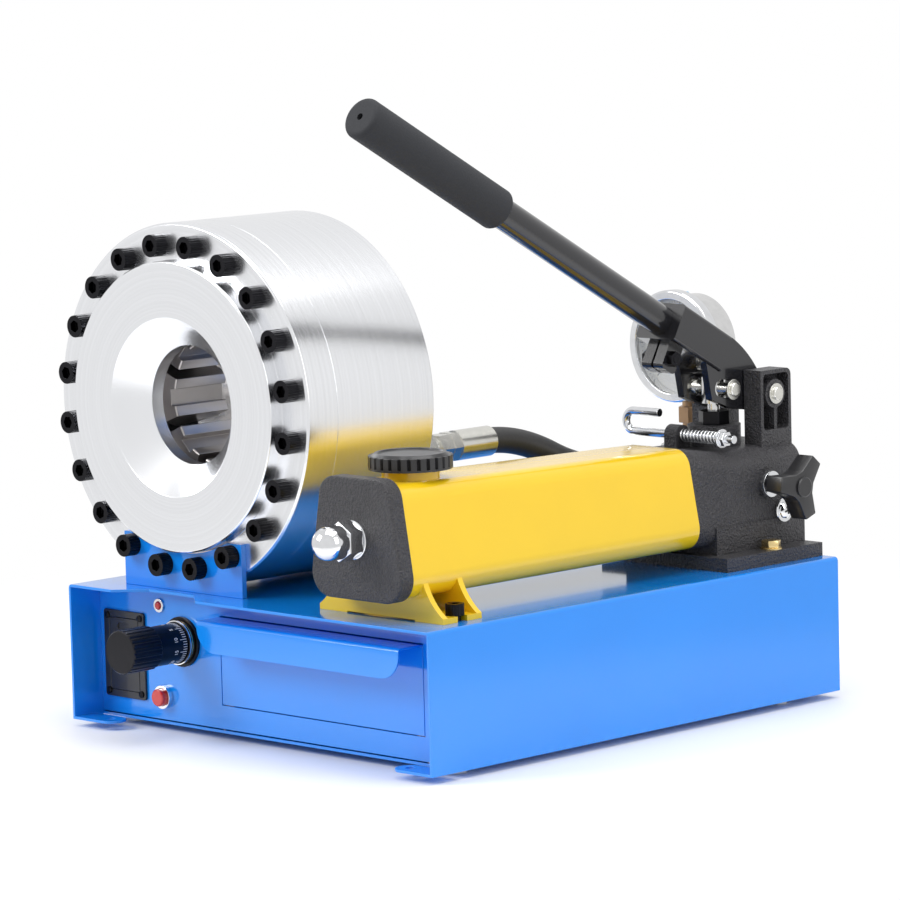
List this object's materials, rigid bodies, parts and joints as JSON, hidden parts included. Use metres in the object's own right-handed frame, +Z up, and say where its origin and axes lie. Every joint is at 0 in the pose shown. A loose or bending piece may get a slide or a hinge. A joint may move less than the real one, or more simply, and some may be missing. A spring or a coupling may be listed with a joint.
{
  "type": "hose crimping machine",
  "caption": "Hand-pumped hydraulic hose crimping machine: ring of cone-driven dies in a round head, lever pump with oil tank and gauge, on a sheet-metal base with a tool drawer.",
  "frame": {"origin": "middle of the footprint of the whole machine, on the bench", "axes": "+Z up, the dial and drawer face -Y, +X to the right of someone who faces the dial"},
  "size_m": [0.407, 0.478, 0.4567],
  "materials": {
    "blue_paint": "gloss",
    "yellow_paint": "gloss",
    "black_paint": "semi-gloss",
    "black_casting": "fine texture",
    "turned_steel": "turned, fine",
    "die_steel": "ground",
    "black_oxide": "oiled",
    "bright_steel": "polished",
    "zinc": "plated",
    "chrome": "polished",
    "bronze": "machined",
    "black_plastic": "satin",
    "black_anodised": "satin",
    "red_plastic": "gloss",
    "black_rubber": "matt",
    "foam": "foam",
    "white_dial": "matt",
    "clear_lens": "clear",
    "battery_case": "gloss"
  },
  "bodies": {
    "frame": {"base_tray": "blue_paint", "battery_box": "black_plastic", "cabinet_shell": "blue_paint", "cap_nut": "chrome", "dial_collar": "black_anodised", "drawer_runners": "zinc", "foot_bolts": "zinc", "front_cover": "turned_steel", "front_panel": "blue_paint", "fulcrum_pin": "zinc", "gauge_bezel": "chrome", "gauge_case": "bright_steel", "gauge_dial": "white_dial", "gauge_lens": "clear_lens", "gauge_stem": "bronze", "gland_nut": "black_oxide", "head_bolts": "black_oxide", "head_brackets": "blue_paint", "head_cylinder": "turned_steel", "hose_fittings": "zinc", "hydraulic_hose": "black_rubber", "lamp_lens": "red_plastic", "latch_spring": "chrome", "limit_switch": "black_plastic", "manifold_block": "black_oxide", "oil_tank": "yellow_paint", "panel_housings": "chrome", "pump_body": "black_casting", "pump_bolts": "zinc", "sleeve_seal": "black_rubber", "tank_end_cap": "black_casting", "tie_rod": "bright_steel", "valve_collar": "chrome"},
    "piston": {"ring_piston": "bright_steel", "piston_seal": "black_rubber"},
    "lever": {"lever_head": "black_paint", "clamp_bolt": "black_oxide", "lever_rod": "black_paint", "lever_grip": "foam"},
    "plunger": {"plunger": "bright_steel", "plunger_pin": "zinc"},
    "release_valve": {"valve_stem": "black_oxide", "valve_knob": "black_plastic"},
    "dial": {"dial_thimble": "black_anodised"},
    "dial_spindle": {"dial_spindle": "bright_steel"},
    "filler_cap": {"filler_cap": "black_plastic"},
    "drawer": {"drawer": "blue_paint"},
    "battery_tray": {"battery_tray": "black_plastic", "battery": "battery_case"},
    "push_button": {"push_button": "red_plastic"},
    "gauge_needle": {"gauge_needle": "black_plastic"},
    "latch": {"latch_rod": "chrome"},
    "die_1": {"master_die_1": "die_steel"},
    "die_2": {"master_die_2": "die_steel"},
    "die_3": {"master_die_3": "die_steel"},
    "die_4": {"master_die_4": "die_steel"},
    "die_5": {"master_die_5": "die_steel"},
    "die_6": {"master_die_6": "die_steel"},
    "die_7": {"master_die_7": "die_steel"},
    "die_8": {"master_die_8": "die_steel"}
  },
  "joints": [
    {"name": "piston_slide", "type": "slide", "parent": "frame", "child": "piston", "axis": [0, -1, 0], "range_m": [0, 0.02571], "stiffness_N_per_m": 3000, "springref_m": -0.005},
    {"name": "die_1_slide", "type": "slide", "parent": "frame", "child": "die_1", "axis": [-0.5736, -0.8192, 0], "range_m": [0, 0.01571]},
    {"name": "die_2_slide", "type": "slide", "parent": "frame", "child": "die_2", "axis": [-0.4056, -0.8192, -0.4056], "range_m": [0, 0.01571]},
    {"name": "die_3_slide", "type": "slide", "parent": "frame", "child": "die_3", "axis": [0, -0.8192, -0.5736], "range_m": [0, 0.01571]},
    {"name": "die_4_slide", "type": "slide", "parent": "frame", "child": "die_4", "axis": [0.4056, -0.8192, -0.4056], "range_m": [0, 0.01571]},
    {"name": "die_5_slide", "type": "slide", "parent": "frame", "child": "die_5", "axis": [0.5736, -0.8192, 0], "range_m": [0, 0.01571]},
    {"name": "die_6_slide", "type": "slide", "parent": "frame", "child": "die_6", "axis": [0.4056, -0.8192, 0.4056], "range_m": [0, 0.01571]},
    {"name": "die_7_slide", "type": "slide", "parent": "frame", "child": "die_7", "axis": [0, -0.8192, 0.5736], "range_m": [0, 0.01571]},
    {"name": "die_8_slide", "type": "slide", "parent": "frame", "child": "die_8", "axis": [-0.4056, -0.8192, 0.4056], "range_m": [0, 0.01571]},
    {"name": "lever_pivot", "type": "hinge", "parent": "frame", "child": "lever", "pos_m": [0.125, 0.1936, 0.2229], "axis": [-1, 0, 0], "range_deg": [-6, 32]},
    {"name": "plunger_slide", "type": "slide", "parent": "frame", "child": "plunger", "axis": [0, 0, 1], "range_m": [-0.0039, 0.0204]},
    {"name": "valve_turn", "type": "hinge", "parent": "frame", "child": "release_valve", "pos_m": [0.1699, 0.174, 0.1595], "axis": [1, 0, 0], "range_deg": [0, 270]},
    {"name": "dial_turn", "type": "hinge", "parent": "frame", "child": "dial", "pos_m": [-0.0774, -0.239, 0.0671], "axis": [0, 1, 0], "range_deg": [0, 3602]},
    {"name": "spindle_slide", "type": "slide", "parent": "frame", "child": "dial_spindle", "axis": [0, 1, 0], "range_m": [0, 0.01]},
    {"name": "filler_turn", "type": "hinge", "parent": "frame", "child": "filler_cap", "pos_m": [0.125, -0.1462, 0.2026], "axis": [0, 0, 1], "range_deg": [0, 720]},
    {"name": "drawer_slide", "type": "slide", "parent": "frame", "child": "drawer", "axis": [0, -1, 0], "range_m": [0, 0.2]},
    {"name": "battery_slide", "type": "slide", "parent": "frame", "child": "battery_tray", "axis": [0, -1, 0], "range_m": [0, 0.025]},
    {"name": "button_press", "type": "slide", "parent": "frame", "child": "push_button", "axis": [0, 1, 0], "range_m": [0, 0.0025], "stiffness_N_per_m": 600, "springref_m": -0.001},
    {"name": "needle_swing", "type": "hinge", "parent": "frame", "child": "gauge_needle", "pos_m": [0.0491, 0.211, 0.2503], "axis": [0, 1, 0], "range_deg": [0, 270], "stiffness_Nm_per_rad": 0.004},
    {"name": "latch_pull", "type": "slide", "parent": "frame", "child": "latch", "axis": [-1, 0, 0], "range_m": [0, 0.008], "stiffness_N_per_m": 1200, "springref_m": -0.005, "deforming": ["latch_spring"]}
  ],
  "couplings": [
    {"joint": "die_1_slide", "follows": "piston_slide", "ratio": 0.61039},
    {"joint": "die_2_slide", "follows": "piston_slide", "ratio": 0.61039},
    {"joint": "die_3_slide", "follows": "piston_slide", "ratio": 0.61039},
    {"joint": "die_4_slide", "follows": "piston_slide", "ratio": 0.61039},
    {"joint": "die_5_slide", "follows": "piston_slide", "ratio": 0.61039},
    {"joint": "die_6_slide", "follows": "piston_slide", "ratio": 0.61039},
    {"joint": "die_7_slide", "follows": "piston_slide", "ratio": 0.61039},
    {"joint": "die_8_slide", "follows": "piston_slide", "ratio": 0.61039},
    {"joint": "plunger_slide", "follows": "lever_pivot", "m_per_rad": 0.0361},
    {"joint": "dial_turn", "follows": "spindle_slide", "rad_per_m": 6283.2}
  ]
}
